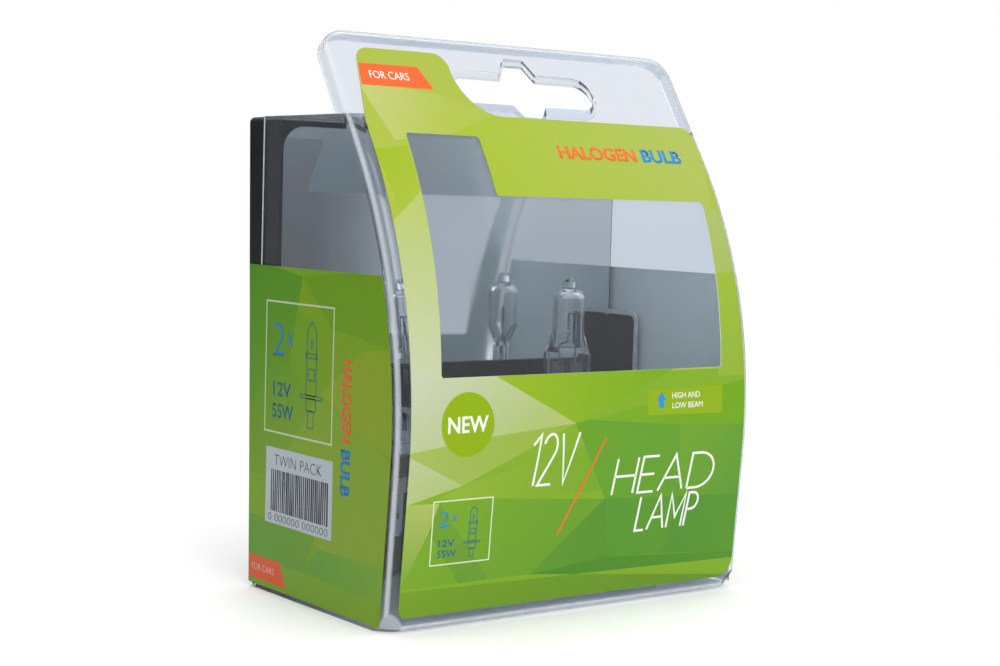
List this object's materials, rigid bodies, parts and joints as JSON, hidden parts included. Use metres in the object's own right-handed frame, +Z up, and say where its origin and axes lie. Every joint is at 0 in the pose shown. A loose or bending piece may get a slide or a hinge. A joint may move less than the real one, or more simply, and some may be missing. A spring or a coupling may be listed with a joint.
{
  "type": "headlight bulb twin pack",
  "caption": "Hanging clear-fronted shop pack with a black back shell and tray, holding two upright single-filament halogen headlight bulbs.",
  "frame": {"origin": "middle of the pack's footprint, on the surface it stands on", "axes": "+X to the right seen from the front, +Y from the front to the back, +Z up"},
  "size_m": [0.1134, 0.0748, 0.143],
  "materials": {
    "clear_plastic": "clear thermoformed sheet",
    "black_plastic": "black moulded plastic, satin",
    "bright_panel": "metallised card",
    "printed_label": "green printed film",
    "quartz": "clear quartz",
    "tungsten": "drawn wire",
    "molybdenum": "dull foil and wire",
    "bright_steel": "nickel-plated pressed steel",
    "ceramic": "fired steatite, matt"
  },
  "bodies": {
    "case": {"front_cover": "clear_plastic", "front_label": "printed_label", "left_side_label": "printed_label", "right_side_label": "printed_label"},
    "back": {"back_shell": "black_plastic", "back_panel": "bright_panel", "bulb_tray": "black_plastic"},
    "left_bulb": {"left_quartz_envelope": "quartz", "left_filament": "tungsten", "left_long_lead": "molybdenum", "left_short_lead": "molybdenum", "left_seal_foils": "molybdenum", "left_outer_leads": "molybdenum", "left_pinch_holder": "bright_steel", "left_flange": "bright_steel", "left_base_cap": "bright_steel", "left_insulator": "ceramic", "left_spade_terminal": "bright_steel"},
    "right_bulb": {"right_quartz_envelope": "quartz", "right_filament": "tungsten", "right_long_lead": "molybdenum", "right_short_lead": "molybdenum", "right_seal_foils": "molybdenum", "right_outer_leads": "molybdenum", "right_pinch_holder": "bright_steel", "right_flange": "bright_steel", "right_base_cap": "bright_steel", "right_insulator": "ceramic", "right_spade_terminal": "bright_steel"}
  },
  "joints": [
    {"name": "back_slide", "type": "slide", "parent": "case", "child": "back", "axis": [0, 1, 0], "range_m": [0, 0.06]},
    {"name": "left_bulb_lift", "type": "slide", "parent": "back", "child": "left_bulb", "axis": [0, 0, 1], "range_m": [0, 0.03]},
    {"name": "right_bulb_lift", "type": "slide", "parent": "back", "child": "right_bulb", "axis": [0, 0, 1], "range_m": [0, 0.03]}
  ]
}
